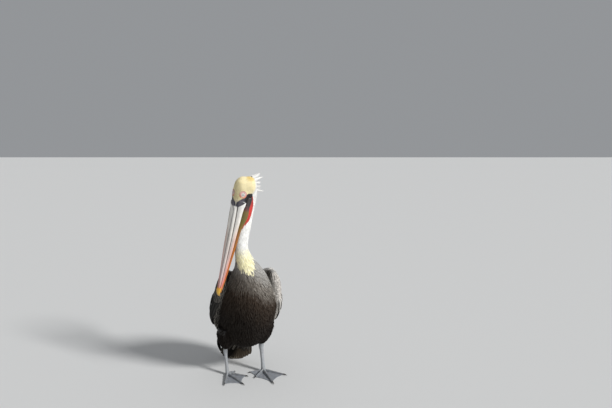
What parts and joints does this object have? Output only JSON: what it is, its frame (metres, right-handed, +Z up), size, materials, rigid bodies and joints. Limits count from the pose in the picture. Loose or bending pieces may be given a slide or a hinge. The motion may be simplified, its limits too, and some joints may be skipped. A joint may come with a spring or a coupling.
{
  "type": "brown pelican",
  "caption": "Adult brown pelican standing at rest on both webbed feet, long bill laid down along its neck, wings folded and tail touching the floor.",
  "frame": {"origin": "middle of the bounding box, on the floor under the bird", "axes": "+Z up, the bird looks towards -Y, its left side is on +X"},
  "size_m": [0.2838, 0.3332, 0.7559],
  "materials": {
    "crown": "soft matte feathers, cream to pale yellow",
    "neck": "soft matte feathers, white with a yellow foreneck patch",
    "belly": "matte feathers, silvery brown on the breast to near-black on the belly",
    "silver": "matte feathers, silver-grey with dark edges",
    "flight": "matte flight feathers, blackish with pale shafts",
    "horn": "satin horn, greyish white turning pink towards the tip",
    "nail": "satin horn, yellow",
    "jaw": "satin horn, olive green turning orange-brown",
    "pouch": "satin bare skin, red turning brownish",
    "eye": "wet gloss, pale grey iris with a dark pupil",
    "claw": "satin horn, dark",
    "leg": "satin scaled skin, slate grey"
  },
  "bodies": {
    "root": {"head": "crown", "bill_upper": "horn", "bill_nail": "nail", "bill_lower": "jaw", "pouch": "pouch", "crest": "neck", "neck_upper": "neck", "neck_lower": "neck", "trunk": "belly", "tail": "silver", "eye_right": "eye", "wing_right": "silver", "primaries_right": "flight", "thigh_right": "belly", "leg_right": "leg", "foot_right": "leg", "claw_right_1": "claw", "claw_right_2": "claw", "claw_right_3": "claw", "claw_right_4": "claw", "eye_left": "eye", "wing_left": "silver", "primaries_left": "flight", "thigh_left": "belly", "leg_left": "leg", "foot_left": "leg", "claw_left_1": "claw", "claw_left_2": "claw", "claw_left_3": "claw", "claw_left_4": "claw"}
  },
  "joints": []
}
